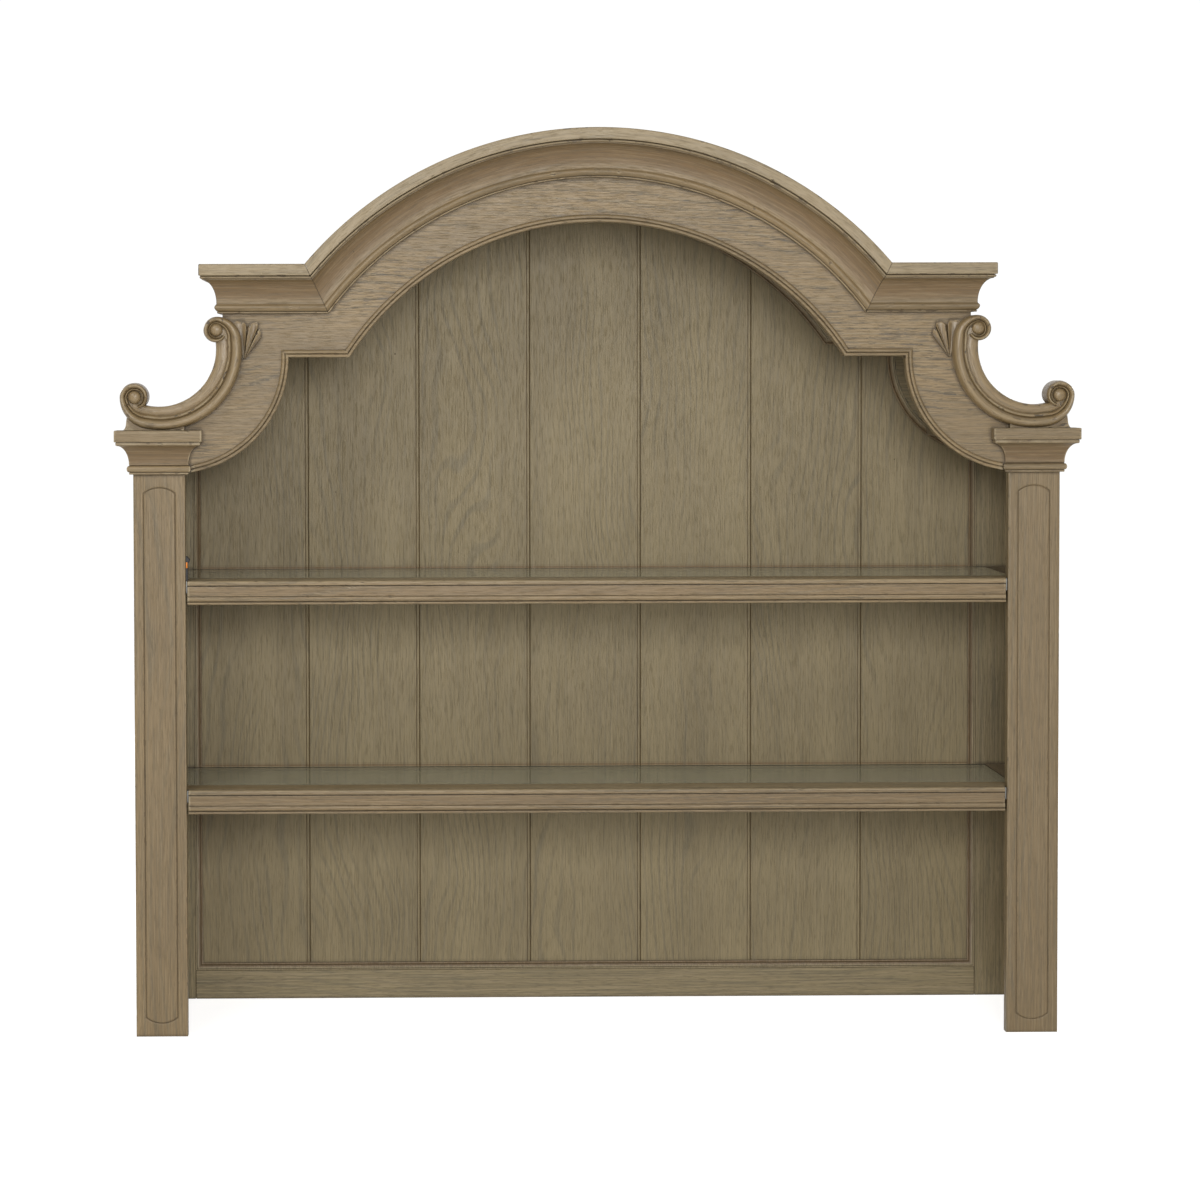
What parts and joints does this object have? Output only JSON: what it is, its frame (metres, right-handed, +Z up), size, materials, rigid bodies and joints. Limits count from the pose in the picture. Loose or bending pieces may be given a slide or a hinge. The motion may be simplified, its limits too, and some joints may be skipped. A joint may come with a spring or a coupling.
{
  "type": "hutch",
  "caption": "Arched open hutch top in weathered oak: moulded crown, carved scrolls on the capitals, planked back and lift-out glass shelves.",
  "frame": {"origin": "on the floor, under the middle of the object's box", "axes": "+X to the right seen from the front, -Y out of the open front, +Z up"},
  "size_m": [1.583, 0.3714, 1.494],
  "materials": {
    "wood": "weathered oak, matt, dark glaze in the grooves, edges worn",
    "crown_wood": "weathered oak, matt, warmer and more worn",
    "back_wood": "weathered oak, matt, darker and greyer",
    "inner_wood": "weathered oak, matt, plain",
    "glass": "clear, slightly green at the edges",
    "steel": "brushed",
    "clip": "matt black",
    "button": "smooth"
  },
  "bodies": {
    "hutch_frame": {"arch_board": "wood", "arch_reeds": "crown_wood", "crown_arch": "crown_wood", "roof_arch": "inner_wood", "back_bottom_rail": "back_wood", "back_arch_rail": "back_wood", "back_moulding": "back_wood", "back_plank_1": "back_wood", "back_plank_2": "back_wood", "back_plank_3": "back_wood", "back_plank_4": "back_wood", "back_plank_5": "back_wood", "back_plank_6": "back_wood", "back_plank_7": "back_wood", "right_post": "wood", "left_post": "wood", "right_capital": "wood", "left_capital": "wood", "right_crown_shoulder": "crown_wood", "left_crown_shoulder": "crown_wood", "right_crown_return": "crown_wood", "left_crown_return": "crown_wood", "right_scroll": "wood", "left_scroll": "wood", "right_leaf": "wood", "left_leaf": "wood", "right_side_panel": "wood", "left_side_panel": "wood", "right_deck": "inner_wood", "left_deck": "inner_wood", "right_upper_side": "wood", "left_upper_side": "wood", "right_shoulder_roof": "inner_wood", "left_shoulder_roof": "inner_wood", "right_back_stile": "back_wood", "left_back_stile": "back_wood", "lower_shelf_lip": "wood", "lower_shelf_board": "wood", "right_lower_shelf_rail": "inner_wood", "left_lower_shelf_rail": "inner_wood", "right_lower_cleat": "inner_wood", "left_lower_cleat": "inner_wood", "right_lower_end_plate": "steel", "left_lower_end_plate": "steel", "upper_shelf_lip": "wood", "upper_shelf_board": "wood", "right_upper_shelf_rail": "inner_wood", "left_upper_shelf_rail": "inner_wood", "right_upper_cleat": "inner_wood", "left_upper_cleat": "inner_wood", "right_upper_end_plate": "steel", "left_upper_end_plate": "steel", "black_clip": "clip", "clip_button": "button"},
    "lower_glass_pane": {"lower_glass": "glass"},
    "upper_glass_pane": {"upper_glass": "glass"}
  },
  "joints": [
    {"name": "lower_glass_lift", "type": "slide", "parent": "hutch_frame", "child": "lower_glass_pane", "axis": [0, 0, 1], "range_m": [0, 0.31]},
    {"name": "upper_glass_lift", "type": "slide", "parent": "hutch_frame", "child": "upper_glass_pane", "axis": [0, 0, 1], "range_m": [0, 0.215]}
  ]
}
